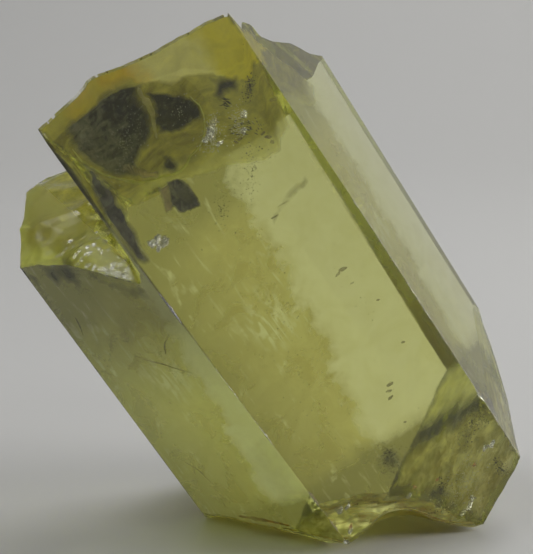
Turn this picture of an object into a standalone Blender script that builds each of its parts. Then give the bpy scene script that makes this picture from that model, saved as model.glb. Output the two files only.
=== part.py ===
"""Rough heliodor: one stubby, broken hexagonal prism of yellow beryl.

The crystal is modelled in its own frame, in millimetres: p runs to the right across the broad
front prism face, q runs in from that face, and s runs up along the crystal's length, with zero
at the foot of the left ridge of that face. The whole is then leaned over and set on the plane
z = 0, on its broken end, in metres. Angles are in degrees.
"""

import math

import bmesh
import bpy
import numpy as np
from mathutils import Matrix, Vector

MM = 0.001

# How the crystal stands.
LEAN = 35.72  # of the crystal's length from the vertical
HEADING = -151.15  # the way that it leans, from +X
SPIN = 173.39  # about its own length
FOOT = (2.324, -2.523, 0.244)  # the foot of the left front ridge, in mm

# The six prism faces, each 60 degrees on from the last and a little out of true:
# direction of the face from the crystal's centre line, its slope, and its distance.
FRONT_LEFT = ((-0.866, -0.500, -0.006), 0.00)
FRONT = ((0.000, -1.000, 0.000), 0.00)
FRONT_RIGHT = ((0.866, -0.500, -0.006), 5.517)
BACK_RIGHT = ((0.866, 0.500, -0.030), 10.40)
BACK = ((0.000, 1.000, 0.000), 8.60)
BACK_LEFT = ((-0.866, 0.500, 0.036), 4.85)
FACES = (FRONT_LEFT, FRONT, FRONT_RIGHT, BACK_RIGHT, BACK, BACK_LEFT)
PRISM_FOOT, PRISM_HEAD = -9.0, 22.0

# The break at the head: a thin spur stands up along the front face, and behind and beside it
# the break runs nearly square across the crystal.
SPUR_EDGE = ((-0.2, 17.65), (1.2, 17.75), (1.9, 17.92), (2.9, 17.6), (4.2, 17.3), (5.8, 17.0), (6.5, 16.8), (9.5, 16.8))
SPUR_LIP = ((0.4, 0.45), (2.5, 0.70), (4.4, 1.00), (5.5, 1.60), (6.1, 1.65), (6.7, 0.25))  # how far down its back is steep
LIP_SLOPE = 3.3
SPUR_SLOPE = 0.88
SCARS = (  # centre p, centre q, half width, half length, depth: shell-shaped scars in the spur's back
    (1.85, 2.70, 1.35, 2.55, 0.50),
    (3.80, 2.35, 0.85, 2.05, 0.42),
)
SHELF_LEVEL = 12.75
SHELF_SWELL = (-1.0, 7.2, 0.65)  # centre p, centre q, height: the shelf is highest at its far left
SHELF_FALL = 0.13  # to the right
SHELF_FACET = (11.42, 0.52, 0.35)  # level by the ridge, rise along the edge, rise inwards: the facet on its front edge
SHELF_RISER = (0.60, 1.50)  # where the rise inwards steepens, and by how much
SPUR_NOTCH = (1.02, 0.42)  # place and height of a step in the spur's right edge
WALL_START, WALL_TURN = -0.14, 0.25  # the spur's left wall, from the front ridge

# The chip down the head of the right front ridge.
CHIP_CORNERS = ((6.40, 0.0, 13.4), (8.60, 3.66, 12.9), (6.38, 0.0, 16.6))

# The break that took off the lower right end, and the chip off its far corner.
LOWER_LEVEL, LOWER_RISE, LOWER_FALL = -5.33, 0.57, -0.10
LOWER_SWELL, LOWER_TIP = 0.50, 0.20
CORNER_POINT, CORNER_NORMAL = (9.0, 4.55, -1.27), (0.80, 0.45, -0.375)

# The foot: flat where it rests, hollowed between, with a notch behind the front edge.
NOTCH_HEIGHT, NOTCH_DEPTH = 1.15, 1.3
HOLLOW = 0.40

# Bruises down the left front ridge: place along it, half length, depth.
RIDGE_CHIPS = (
    (10.6, 0.80, 0.10), (8.9, 0.35, 0.13), (7.9, 0.30, 0.06), (7.1, 0.45, 0.12), (5.9, 0.30, 0.07),
    (5.1, 0.50, 0.14), (4.1, 0.25, 0.06), (3.3, 0.45, 0.12), (2.2, 0.40, 0.11), (0.9, 0.30, 0.08), (-0.3, 0.55, 0.16),
)
RIDGE_WEAR = 0.02

GRID = 0.38  # spacing of the break surfaces' facets


def between(x, knots):
    return np.interp(x, [a for a, _ in knots], [b for _, b in knots])


def ease(x):
    x = np.clip(x, 0.0, 1.0)
    return x * x * (3.0 - 2.0 * x)


def bowl(x, y):
    return np.maximum(0.0, 1.0 - x * x - y * y)


def shelf(p, q):
    """Level of the break that runs across the crystal."""
    level = SHELF_LEVEL - SHELF_FALL * p
    level = level - 0.15 * np.maximum(0.0, q - 8.3) ** 2
    centre_p, centre_q, high = SHELF_SWELL
    level = level + high * np.exp(-(((p - centre_p) / 2.2) ** 2) - ((q - centre_q) / 2.6) ** 2)
    along, inwards = 0.866 * q - 0.5 * p, 0.866 * p + 0.5 * q
    start, along_rise, inward_rise = SHELF_FACET
    facet = start + along_rise * along + inward_rise * inwards + SHELF_RISER[1] * np.maximum(0.0, inwards - SHELF_RISER[0])
    level = np.minimum(level, facet + 4.0 * ease((p - 1.0) / 3.0))
    return level + 0.07 * np.sin(1.9 * p + 0.8 * q) + 0.05 * np.sin(1.1 * p - 2.3 * q + 1.0)


def spur(p, q):
    """Level of the back of the spur: a steep lip, then a long slope with two scars in it."""
    edge = between(p, SPUR_EDGE)
    lip = between(p, SPUR_LIP)
    level = np.maximum(edge - LIP_SLOPE * q, edge - lip - SPUR_SLOPE * (q - 0.3 * lip))
    level = level - SPUR_NOTCH[1] * ease((q - SPUR_NOTCH[0]) / 0.14) * ease((p - 6.3) / 0.5)
    for centre_p, centre_q, wide, long, deep in SCARS:
        level = level - deep * bowl((p - centre_p) / wide, (q - centre_q) / long)
    return level + 0.04 * np.sin(2.6 * q + 0.7 * p) * ease(q - 0.6)


def spur_wall(q):
    return WALL_START + WALL_TURN * q + 0.05 * np.sin(1.7 * q)


def head(p, q):
    low = shelf(p, q)
    aside = p - spur_wall(q)
    up = 0.10 * ease((aside + 0.42) / 0.36) ** 2 + 0.90 * ease((aside + 0.07) / 0.13)
    return low + np.maximum(0.0, spur(p, q) - low) * up


def lower_break(p, q):
    level = LOWER_LEVEL + LOWER_RISE * p - LOWER_FALL * q
    level = level - LOWER_SWELL * bowl((p - 7.7) / 2.0, (q - 2.4) / 2.4) - LOWER_TIP * bowl((p - 6.0) / 1.7, q / 1.6)
    return level + 0.06 * np.sin(1.7 * q + 1.3 * p)


def foot_hollow(p, q):
    """Height of the broken foot over the surface that it stands on."""
    rise = ease((p + 0.35) / 1.5) * (1.0 - ease((p - 1.2) / 2.3))
    height = NOTCH_HEIGHT * rise * np.exp(-((q / NOTCH_DEPTH) ** 2))
    height = height + HOLLOW * bowl((p - 1.3) / 2.4, (q - 4.3) / 2.3) + 0.3 * bowl((p + 0.6) / 1.1, (q - 6.6) / 1.5)
    return np.maximum(0.0, height - 0.04)


def ridge_depth(s):
    depth = np.full_like(s, RIDGE_WEAR)
    for place, half, deep in RIDGE_CHIPS:
        depth = np.maximum(depth, deep * np.maximum(0.0, 1.0 - ((s - place) / half) ** 2))
    return depth


def steps(start, stop, spacing):
    return np.linspace(start, stop, int(round((stop - start) / spacing)) + 1)


def fill_object(name, points, quads):
    """A closed mesh object from points in mm."""
    mesh = bpy.data.meshes.new(name)
    built = bmesh.new()
    corners = [built.verts.new(Vector(point) * MM) for point in points.tolist()]
    for quad in quads:
        built.faces.new([corners[i] for i in quad])
    bmesh.ops.recalc_face_normals(built, faces=built.faces)
    built.to_mesh(mesh)
    built.free()
    made = bpy.data.objects.new(name, mesh)
    bpy.context.scene.collection.objects.link(made)
    return made


def block(name, us, vs, ws, place):
    """A closed block whose surface carries the grid lines us, vs, ws, each point put where place() says."""
    sizes = (len(us), len(vs), len(ws))
    index, points, quads = {}, [], []

    def at(i, j, k):
        if (i, j, k) not in index:
            index[i, j, k] = len(points)
            points.append((us[i], vs[j], ws[k]))
        return index[i, j, k]

    for axis in range(3):
        a, b = [other for other in range(3) if other != axis]
        for side in (0, sizes[axis] - 1):
            for m in range(sizes[a] - 1):
                for n in range(sizes[b] - 1):
                    quad = []
                    for da, db in ((0, 0), (1, 0), (1, 1), (0, 1)):
                        spot = [0, 0, 0]
                        spot[axis], spot[a], spot[b] = side, m + da, n + db
                        quad.append(at(*spot))
                    quads.append(quad)
    grid = np.array(points)
    return fill_object(name, np.stack(place(grid[:, 0], grid[:, 1], grid[:, 2]), axis=1), quads)


def prism():
    """The six faces met in six ridges, between two square ends."""
    rings = []
    for level in (PRISM_FOOT, PRISM_HEAD):
        ring = []
        for (one, one_far), (two, two_far) in zip(FACES, FACES[1:] + FACES[:1]):
            sides = np.array((one[:2], two[:2]))
            ring.append((*np.linalg.solve(sides, (one_far - one[2] * level, two_far - two[2] * level)), level))
        rings.append(ring)
    quads = [[i, (i + 1) % 6, 6 + (i + 1) % 6, 6 + i] for i in range(6)]
    return fill_object("heliodor_crystal", np.array(rings[0] + rings[1]), [list(range(6)), list(range(6, 12)), *quads])


def head_cutter():
    # Lines across, from the wall outwards: those near the wall follow it back, the others stay straight.
    beside = np.array((-4.2, -1.6, -0.9, -0.42, -0.30, -0.18, -0.07, -0.02, 0.03, 0.07, 0.35))
    across = np.concatenate((beside, steps(0.8, 11.0, GRID)))
    along = np.concatenate((np.array((-1.5, -0.4)), steps(0.0, 0.9, 0.15), steps(1.2, 12.5, GRID)))

    def place(u, v, w):
        p = u + spur_wall(np.clip(v, 0.0, 6.0)) * (1.0 - ease((np.abs(u) - 1.0) / 5.0))
        return p, v, np.where(w > 0.5, PRISM_HEAD + 4.0, head(p, v))

    return block("head_break", across, along, np.array((0.0, 1.0)), place)


def lower_cutter():
    def place(u, v, w):
        return u, v, np.where(w < 0.5, PRISM_FOOT - 4.0, lower_break(u, v))

    return block("lower_break", steps(2.6, 11.0, GRID), steps(-1.5, 12.5, GRID), np.array((0.0, 1.0)), place)


def half_space(name, point, normal):
    """A large block on the outer side of a plane."""
    turn = Vector(normal).to_track_quat("Z", "Y").to_matrix()
    ends = np.array((-14.0, 14.0))

    def place(u, v, w):
        spots = [turn @ Vector((x, y, 14.0 * z)) + Vector(point) for x, y, z in zip(u, v, w)]
        return tuple(np.array(spots).T)

    return block(name, ends, ends, np.array((0.0, 1.0)), place)


def chip_cutter():
    a, b, c = (np.array(corner) for corner in CHIP_CORNERS)
    normal = np.cross(b - a, c - a)
    normal *= np.sign(normal[0])
    return half_space("ridge_head_chip", tuple(a), tuple(normal / np.linalg.norm(normal)))


def ridge_cutter():
    def place(u, v, w):
        inward = np.where(v > 0.5, ridge_depth(w), -3.0)
        ridge_p = -0.0069 * w
        return ridge_p + 0.5 * inward + 0.866 * u, 0.866 * inward - 0.5 * u, w

    return block("ridge_bruises", np.array((-3.0, 3.0)), np.array((0.0, 1.0)), steps(-3.0, 14.0, 0.2), place)


def foot_cutter(to_crystal):
    """What lies under the surface that the crystal rests on, and the hollows above it."""

    def place(u, v, w):
        spots = np.stack((u, v, np.zeros_like(u)), axis=1)
        local = (spots - np.array(FOOT)) @ np.array(to_crystal)
        return u, v, np.where(w < 0.5, -16.0, foot_hollow(local[:, 0], local[:, 1]))

    return block("foot_hollows", steps(-8.0, 15.0, 0.46), steps(-12.0, 10.0, 0.46), np.array((0.0, 1.0)), place)


def cut(target, cutter):
    cutter.hide_render = True
    cutter.display_type = "WIRE"
    step = target.modifiers.new(cutter.name, "BOOLEAN")
    step.operation = "DIFFERENCE"
    step.solver = "EXACT"
    step.object = cutter


def beryl():
    material = bpy.data.materials.new("yellow_beryl")
    material.use_nodes = True
    shader = material.node_tree.nodes["Principled BSDF"]
    shader.inputs["Base Color"].default_value = (0.72, 0.71, 0.27, 1.0)
    shader.inputs["Metallic"].default_value = 0.0
    shader.inputs["Roughness"].default_value = 0.06
    shader.inputs["IOR"].default_value = 1.57
    shader.inputs["Transmission Weight"].default_value = 1.0
    material.diffuse_color = (0.72, 0.71, 0.27, 1.0)
    return material


def main():
    for old in list(bpy.data.objects):
        bpy.data.objects.remove(old, do_unlink=True)
    turn = (
        Matrix.Rotation(math.radians(HEADING), 3, "Z")
        @ Matrix.Rotation(math.radians(LEAN), 3, "Y")
        @ Matrix.Rotation(math.radians(SPIN), 3, "Z")
    )
    stand = Matrix.Translation(Vector(FOOT) * MM) @ turn.to_4x4()
    crystal = prism()
    crystal.matrix_world = stand
    crystal.data.materials.append(beryl())
    for cutter in (head_cutter(), lower_cutter(), chip_cutter(), half_space("far_corner_chip", CORNER_POINT, CORNER_NORMAL), ridge_cutter()):
        cutter.matrix_world = stand
        cut(crystal, cutter)
    cut(crystal, foot_cutter(turn))


main()
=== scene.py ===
import math

import bmesh
import bpy
import numpy as np
from mathutils import Matrix, Vector


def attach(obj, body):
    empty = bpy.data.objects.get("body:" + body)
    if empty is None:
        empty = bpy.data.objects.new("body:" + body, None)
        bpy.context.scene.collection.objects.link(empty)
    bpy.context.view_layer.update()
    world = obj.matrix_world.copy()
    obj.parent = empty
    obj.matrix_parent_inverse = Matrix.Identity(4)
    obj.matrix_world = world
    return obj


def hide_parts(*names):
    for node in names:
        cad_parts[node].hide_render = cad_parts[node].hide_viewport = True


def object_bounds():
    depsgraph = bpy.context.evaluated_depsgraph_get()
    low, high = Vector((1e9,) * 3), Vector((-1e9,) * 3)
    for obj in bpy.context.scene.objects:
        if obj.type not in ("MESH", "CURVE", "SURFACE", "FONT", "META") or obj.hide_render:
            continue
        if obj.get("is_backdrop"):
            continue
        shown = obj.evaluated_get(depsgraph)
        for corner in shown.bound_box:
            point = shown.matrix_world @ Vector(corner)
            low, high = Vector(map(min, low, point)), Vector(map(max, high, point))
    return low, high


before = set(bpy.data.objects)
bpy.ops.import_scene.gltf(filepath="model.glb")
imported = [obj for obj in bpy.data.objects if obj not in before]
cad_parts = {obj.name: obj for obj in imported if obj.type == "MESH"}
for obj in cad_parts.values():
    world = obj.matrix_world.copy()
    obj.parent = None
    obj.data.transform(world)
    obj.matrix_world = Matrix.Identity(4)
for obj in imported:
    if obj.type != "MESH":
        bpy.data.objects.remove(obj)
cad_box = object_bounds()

MM = 0.001

# ---------------------------------------------------------------- the crystal's frame and its faces
# In mm: p runs right across the broad front face, q runs in from it, s runs up the crystal.
LEAN, HEADING, SPIN = 35.72, -151.15, 173.39
FOOT = (2.324, -2.523, 0.244)
TURN = (
    Matrix.Rotation(math.radians(HEADING), 3, "Z")
    @ Matrix.Rotation(math.radians(LEAN), 3, "Y")
    @ Matrix.Rotation(math.radians(SPIN), 3, "Z")
)
STAND = Matrix.Translation(Vector(FOOT) * MM) @ TURN.to_4x4()
TURN_ROWS = np.array(TURN)

FACES = (
    ((-0.866, -0.500, -0.006), 0.00),
    ((0.000, -1.000, 0.000), 0.00),
    ((0.866, -0.500, -0.006), 5.517),
    ((0.866, 0.500, -0.030), 10.40),
    ((0.000, 1.000, 0.000), 8.60),
    ((-0.866, 0.500, 0.036), 4.85),
)
PRISM_FOOT, PRISM_HEAD = -9.0, 22.0
SPUR_EDGE = ((-0.2, 17.65), (1.2, 17.75), (1.9, 17.92), (2.9, 17.6), (4.2, 17.3), (5.8, 17.0), (6.5, 16.8), (9.5, 16.8))
SPUR_LIP = ((0.4, 0.45), (2.5, 0.70), (4.4, 1.00), (5.5, 1.60), (6.1, 1.65), (6.7, 0.25))
LIP_SLOPE, SPUR_SLOPE = 3.3, 0.88
SCARS = ((1.85, 2.70, 1.35, 2.55, 0.50), (3.80, 2.35, 0.85, 2.05, 0.42))
SHELF_LEVEL, SHELF_FALL = 12.75, 0.13
SHELF_SWELL = (-1.0, 7.2, 0.65)
SHELF_FACET = (11.42, 0.52, 0.35)
SHELF_RISER = (0.60, 1.50)
SPUR_NOTCH = (1.02, 0.42)
WALL_START, WALL_TURN = -0.14, 0.25
CHIP_CORNERS = ((6.40, 0.0, 13.4), (8.60, 3.66, 12.9), (6.38, 0.0, 16.6))
LOWER_LEVEL, LOWER_RISE, LOWER_FALL = -5.33, 0.57, -0.10
LOWER_SWELL, LOWER_TIP = 0.50, 0.16
CORNER_POINT, CORNER_NORMAL = (9.0, 4.55, -1.27), (0.80, 0.45, -0.375)
NOTCH_HEIGHT, NOTCH_DEPTH = 0.98, 1.3
HOLLOW = 0.40
RIDGE_CHIPS = ((10.6, 0.80, 0.03), (5.1, 0.50, 0.02), (2.2, 0.40, 0.05), (0.9, 0.30, 0.04), (-0.3, 0.55, 0.18))

GRID = 0.075


# ---------------------------------------------------------------- shape helpers
def between(x, knots):
    return np.interp(x, [a for a, _ in knots], [b for _, b in knots])


def ease(x):
    x = np.clip(x, 0.0, 1.0)
    return x * x * (3.0 - 2.0 * x)


def bowl(x, y):
    return np.maximum(0.0, 1.0 - x * x - y * y)


def steps(start, stop, spacing):
    return np.linspace(start, stop, int(round((stop - start) / spacing)) + 1)


def scatter(i, j, seed):
    """A fixed number from 0 to 1 for each whole-number place."""
    h = (i.astype(np.int64) * 73856093) ^ (j.astype(np.int64) * 19349663) ^ (seed * 83492791)
    h = ((h ^ (h >> 13)) * 1274126177) & 0x7FFFFFFF
    h = ((h ^ (h >> 15)) * 668265263) & 0x7FFFFFFF
    return ((h >> 7) & 0xFFFF) / 65535.0


def lumps(x, y, seed=0):
    """Smooth noise from -1 to 1."""
    i, j = np.floor(x), np.floor(y)
    u, v = x - i, y - j
    u, v = u * u * (3 - 2 * u), v * v * (3 - 2 * v)
    a, b = scatter(i, j, seed), scatter(i + 1, j, seed)
    c, d = scatter(i, j + 1, seed), scatter(i + 1, j + 1, seed)
    return 2.0 * ((a * (1 - u) + b * u) * (1 - v) + (c * (1 - u) + d * u) * v) - 1.0


def rough(x, y, layers, seed=0):
    total, high = np.zeros_like(x), 1.0
    for n in range(layers):
        total = total + high * lumps(x * 2.03**n, y * 2.03**n, seed + 11 * n)
        high *= 0.5
    return total


def scallops(x, y, seed=0):
    """Hollows that meet in sharp crests, from 0 in a hollow to about 1 on a crest: splintery breakage."""
    i, j = np.floor(x), np.floor(y)
    nearest = np.full_like(x, 9.0)
    for di in (-1, 0, 1):
        for dj in (-1, 0, 1):
            a, b = i + di, j + dj
            cx, cy = a + scatter(a, b, seed), b + scatter(a, b, seed + 5)
            nearest = np.minimum(nearest, (x - cx) ** 2 + (y - cy) ** 2)
    return np.minimum(nearest, 1.2)


# ---------------------------------------------------------------- the broken surfaces, as in the solid but finer
def shelf(p, q):
    level = SHELF_LEVEL - SHELF_FALL * p
    level = level - 0.15 * np.maximum(0.0, q - 8.3) ** 2
    centre_p, centre_q, high = SHELF_SWELL
    level = level + high * np.exp(-(((p - centre_p) / 2.2) ** 2) - ((q - centre_q) / 2.6) ** 2)
    level = level + 0.30 * (scallops(p * 0.62 + 0.2, q * 0.8, 3) - 0.45) + 0.05 * (scallops(p * 1.9 + 0.4 * q, q * 2.3, 4) - 0.45)
    along, inwards = 0.866 * q - 0.5 * p, 0.866 * p + 0.5 * q
    start, along_rise, inward_rise = SHELF_FACET
    riser = SHELF_RISER[0] + 0.12 * lumps(along * 1.7, inwards * 0.4, 8)
    facet = start + along_rise * along + inward_rise * inwards + SHELF_RISER[1] * np.maximum(0.0, inwards - riser)
    facet = facet + 0.03 * np.sin(2.6 * along + 1.2 * inwards)
    facet = facet + 0.10 * scallops(along * 2.1, inwards * 2.6, 9) * ease((inwards - riser) / 0.2)
    level = np.minimum(level, facet + 4.0 * ease((p - 1.0) / 3.0))
    level = level - 0.17 * ease((-0.9 - p) / 0.7)
    return level + 0.010 * rough(p * 2.6, q * 2.6, 3, 21)


def spur(p, q):
    edge = between(p, SPUR_EDGE)
    edge = edge - 0.10 * scallops(p * 1.15 + 0.3, p * 0.0, 13) - 0.035 * scallops(p * 3.7, p * 0.0 + 0.5, 14)
    lip = between(p, SPUR_LIP) + 0.10 * lumps(p * 1.1, q * 0.0, 15)
    steep = edge - (LIP_SLOPE + 0.5 * lumps(p * 0.8, q * 0.0, 17)) * q + 0.05 * scallops(p * 1.4, q * 2.2, 18)
    level = np.maximum(steep, edge - lip - SPUR_SLOPE * (q - 0.3 * lip))
    level = level - SPUR_NOTCH[1] * ease((q - SPUR_NOTCH[0]) / 0.14) * ease((p - 6.3) / 0.5)
    for n, (centre_p, centre_q, wide, long, deep) in enumerate(SCARS):
        x, y = (p - centre_p) / wide, (q - centre_q) / long
        inside = bowl(x, y)
        level = level - deep * inside
        reach = np.sqrt((x * 0.9) ** 2 + ((y + 0.95) * 0.8) ** 2)
        level = level + 0.006 * np.sin(13.0 * reach + 1.4 * lumps(p * 1.3, q * 1.3, 30 + n)) * np.minimum(1.0, 2.0 * inside)
    splinters = ease((p - 3.9) / 0.5) * ease((6.6 - p) / 0.5) * ease((q - 0.7) / 0.4) * ease((5.6 - q) / 0.6)
    level = level - splinters * (0.16 * scallops(p * 1.5 + 0.3 * q, q * 1.3, 23) + 0.07 * scallops(p * 3.4, q * 3.0, 24) - 0.05)
    return level + 0.035 * np.sin(2.6 * q + 0.7 * p) * ease(q - 0.6) + 0.008 * rough(p * 1.3, q * 1.3, 2, 25)


def spur_wall(q):
    return WALL_START + WALL_TURN * q + 0.05 * np.sin(1.7 * q)


def head(p, q):
    low = shelf(p, q)
    aside = p - spur_wall(q) + 0.05 * lumps(q * 2.1, q * 0.0, 27) * ease(q / 0.5)
    up = 0.10 * ease((aside + 0.42) / 0.36) ** 2 + 0.90 * ease((aside + 0.07) / 0.13)
    return low + np.maximum(0.0, spur(p, q) - low) * up


def lower_break(p, q):
    level = LOWER_LEVEL + LOWER_RISE * p - LOWER_FALL * q
    level = level - LOWER_SWELL * bowl((p - 7.7) / 2.0, (q - 2.4) / 2.4) - LOWER_TIP * bowl((p - 6.0) / 1.7, q / 1.6)
    level = level + 0.22 * (0.55 - scallops(p * 0.55, q * 0.45, 41)) + 0.03 * (0.5 - scallops(p * 1.8, q * 1.5, 42))
    return level + 0.012 * rough(p * 3.0, q * 3.0, 3, 43)


def foot_hollow(p, q):
    rise = ease((p + 0.35) / 1.5) * (1.0 - ease((p - 1.2) / 2.3))
    height = NOTCH_HEIGHT * rise * np.exp(-((q / NOTCH_DEPTH) ** 2))
    height = height + HOLLOW * bowl((p - 1.3) / 2.4, (q - 4.3) / 2.3) + 0.3 * bowl((p + 0.6) / 1.1, (q - 6.6) / 1.5)
    height = height + 0.34 * (0.62 - scallops(p * 0.75 + 0.1, q * 0.6, 51)) + 0.10 * (0.5 - scallops(p * 2.2, q * 2.0, 52))
    return np.maximum(0.0, height + 0.015 * rough(p * 3.0, q * 3.0, 3, 53))


# ---------------------------------------------------------------- building closed meshes
def block(name, us, vs, ws, place, matrix=STAND):
    """A closed block whose surface carries the grid lines us, vs, ws, each point put where place() says."""
    sizes = (len(us), len(vs), len(ws))
    all_quads = []
    for axis in range(3):
        a, b = [other for other in range(3) if other != axis]
        m, n = np.meshgrid(np.arange(sizes[a] - 1), np.arange(sizes[b] - 1), indexing="ij")
        m, n = m.ravel(), n.ravel()
        for side in (0, sizes[axis] - 1):
            corners = []
            for da, db in ((0, 0), (1, 0), (1, 1), (0, 1)):
                spot = [None, None, None]
                spot[axis], spot[a], spot[b] = np.full_like(m, side), m + da, n + db
                corners.append((spot[0] * sizes[1] + spot[1]) * sizes[2] + spot[2])
            quads = np.stack(corners, axis=1)
            outward = (side > 0) != (axis == 1)
            all_quads.append(quads if outward else quads[:, ::-1])
    quads = np.concatenate(all_quads)
    used, quads = np.unique(quads, return_inverse=True)
    quads = quads.reshape(-1, 4)
    i, rest = np.divmod(used, sizes[1] * sizes[2])
    j, k = np.divmod(rest, sizes[2])
    points = np.stack(place(us[i], vs[j], ws[k]), axis=1)
    return solid(name, points, quads.tolist(), matrix)


def solid(name, points, polygons, matrix=STAND):
    mesh = bpy.data.meshes.new(name)
    mesh.from_pydata((points * MM).tolist(), [], polygons)
    mesh.transform(matrix)
    mesh.update()
    made = bpy.data.objects.new(name, mesh)
    bpy.context.scene.collection.objects.link(made)
    return made


def ridge_point(one, two, level):
    (n1, d1), (n2, d2) = FACES[one], FACES[two]
    sides = np.array((n1[:2], n2[:2]))
    return np.linalg.solve(sides, np.array((d1 - n1[2] * level, d2 - n2[2] * level)))


def prism():
    """The six grown faces, in small squares so that what a cut leaves of each stays simple."""
    levels, parts = steps(PRISM_FOOT, PRISM_HEAD, 0.5), 12
    shares = np.arange(parts)[:, None] / parts
    rings = []
    for level in levels:
        ridges = [np.array((*ridge_point(i, (i + 1) % 6, level), level)) for i in range(6)]
        for i in range(6):
            rings.append(ridges[i] * (1 - shares) + ridges[(i + 1) % 6] * shares)
    count = 6 * parts
    quads = [
        [n * count + i, n * count + (i + 1) % count, (n + 1) * count + (i + 1) % count, (n + 1) * count + i]
        for n in range(len(levels) - 1)
        for i in range(count)
    ]
    last = (len(levels) - 1) * count
    return solid("heliodor", np.concatenate(rings), [list(range(count - 1, -1, -1)), list(range(last, last + count)), *quads])


def head_cutter():
    beside = np.concatenate((np.array((-4.2, -3.4)), steps(-3.3, -0.5, GRID), steps(-0.42, 0.14, 0.035)))
    across = np.concatenate((beside, steps(0.2, 9.9, GRID), np.array((11.0,))))
    along = np.concatenate((np.array((-1.5, -0.4, -0.1)), steps(0.0, 0.9, 0.05), steps(0.97, 10.2, GRID), np.array((12.5,))))

    def place(u, v, w):
        p = u + spur_wall(np.clip(v, 0.0, 6.0)) * (1.0 - ease((np.abs(u) - 1.0) / 5.0))
        return p, v, np.where(w > 0.5, PRISM_HEAD + 4.0, head(p, v))

    return block("head_break", across, along, np.array((0.0, 1.0)), place)


def lower_cutter():
    def place(u, v, w):
        return u, v, np.where(w < 0.5, PRISM_FOOT - 4.0, lower_break(u, v))

    return block("lower_break", np.concatenate((steps(2.6, 9.6, GRID), np.array((11.0,)))), np.concatenate((np.array((-1.5, -0.2)), steps(0.0, 10.2, GRID), np.array((12.5,)))), np.array((0.0, 1.0)), place)


def half_space(name, point, normal, dent=0.0, seed=0):
    """A large block on the outer side of a plane, whose inner side may be a little uneven."""
    turn = np.array(Vector(normal).to_track_quat("Z", "Y").to_matrix())
    lines = np.array((-14.0, 14.0)) if not dent else np.concatenate((np.array((-14.0,)), steps(-5.0, 5.0, 0.1), np.array((14.0,))))

    def place(u, v, w):
        lift = np.where(w > 0.5, 14.0, dent * scallops(u * 1.3, v * 1.1, seed) if dent else 0.0)
        return tuple((np.stack((u, v, lift), axis=1) @ turn.T + np.array(point)).T)

    return block(name, lines, lines, np.array((0.0, 1.0)), place)


def chip_plane():
    a, b, c = (np.array(corner) for corner in CHIP_CORNERS)
    normal = np.cross(b - a, c - a)
    normal *= np.sign(normal[0])
    return tuple(a), tuple(normal / np.linalg.norm(normal))


def chip_cutter():
    return half_space("ridge_head_chip", *chip_plane())


def ridge_cutter(one, two, chips, wear, seed):
    """Wear and bruises down the ridge between two prism faces."""
    (n1, _), (n2, _) = FACES[one], FACES[two]
    outward = np.array(n1[:2]) + np.array(n2[:2])
    outward /= np.linalg.norm(outward)
    aside = np.array((-outward[1], outward[0]))
    low, high = ridge_point(one, two, 0.0), ridge_point(one, two, 10.0)

    def place(u, v, w):
        deep = wear * (0.35 + 0.9 * scallops(w * 1.9, u * 2.0, seed) + 0.5 * np.maximum(0.0, lumps(w * 0.9, u * 0.0, seed + 1)))
        for at, half, depth in chips:
            reach = np.maximum(0.0, 1.0 - ((w - at) / half) ** 2 - (0.5 * u / half) ** 2)
            deep = np.maximum(deep, depth * reach * (0.55 + 0.75 * scallops(w * 2.9, u * 3.3, seed + 2)))
        inward = np.where(v > 0.5, deep, -1.5)
        share = w / 10.0
        p = low[0] + (high[0] - low[0]) * share - outward[0] * inward + aside[0] * u
        q = low[1] + (high[1] - low[1]) * share - outward[1] * inward + aside[1] * u
        return p, q, w

    lines = np.concatenate((np.array((-1.2,)), steps(-0.42, 0.42, 0.07), np.array((1.2,))))
    return block(f"ridge_wear_{one}", lines, np.array((1.0, 0.0)), steps(-6.0, 19.0, 0.06), place)


def foot_cutter():
    def place(u, v, w):
        spots = np.stack((u, v, np.zeros_like(u)), axis=1)
        local = (spots - np.array(FOOT)) @ TURN_ROWS
        return u, v, np.where(w < 0.5, -16.0, foot_hollow(local[:, 0], local[:, 1]))

    us = np.concatenate((np.array((-8.0, -4.5)), steps(-4.2, 8.4, GRID * 1.3), np.array((15.0,))))
    vs = np.concatenate((np.array((-12.0, -5.2)), steps(-5.0, 8.6, GRID * 1.3), np.array((10.0,))))
    return block("foot_hollows", us, vs, np.array((0.0, 1.0)), place, Matrix.Identity(4))


def crystal():
    made = prism()
    cutters = [head_cutter(), lower_cutter(), chip_cutter(), half_space("far_corner_chip", CORNER_POINT, CORNER_NORMAL, 0.12, 61)]
    cutters.append(ridge_cutter(0, 1, RIDGE_CHIPS, 0.004, 71))
    cutters.append(ridge_cutter(1, 2, ((15.2, 0.3, 0.05), (9.4, 0.2, 0.035), (1.1, 0.4, 0.05)), 0.014, 81))
    cutters.append(ridge_cutter(2, 3, ((10.6, 0.3, 0.05), (3.3, 0.2, 0.03)), 0.014, 91))
    cutters.append(ridge_cutter(5, 0, ((8.3, 0.3, 0.03), (12.6, 0.5, 0.05)), 0.014, 101))
    cutters.append(ridge_cutter(3, 4, ((7.5, 0.5, 0.07),), 0.02, 111))
    cutters.append(ridge_cutter(4, 5, ((9.0, 0.6, 0.08), (4.0, 0.3, 0.05)), 0.02, 121))
    cutters.append(foot_cutter())
    for cutter in cutters:
        step = made.modifiers.new(cutter.name, "BOOLEAN")
        step.operation, step.solver, step.object = "DIFFERENCE", "MANIFOLD", cutter
    graph = bpy.context.evaluated_depsgraph_get()
    mesh = bpy.data.meshes.new_from_object(made.evaluated_get(graph))
    made.modifiers.clear()
    made.data = mesh
    for cutter in cutters:
        bpy.data.objects.remove(cutter, do_unlink=True)
    return made


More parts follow.
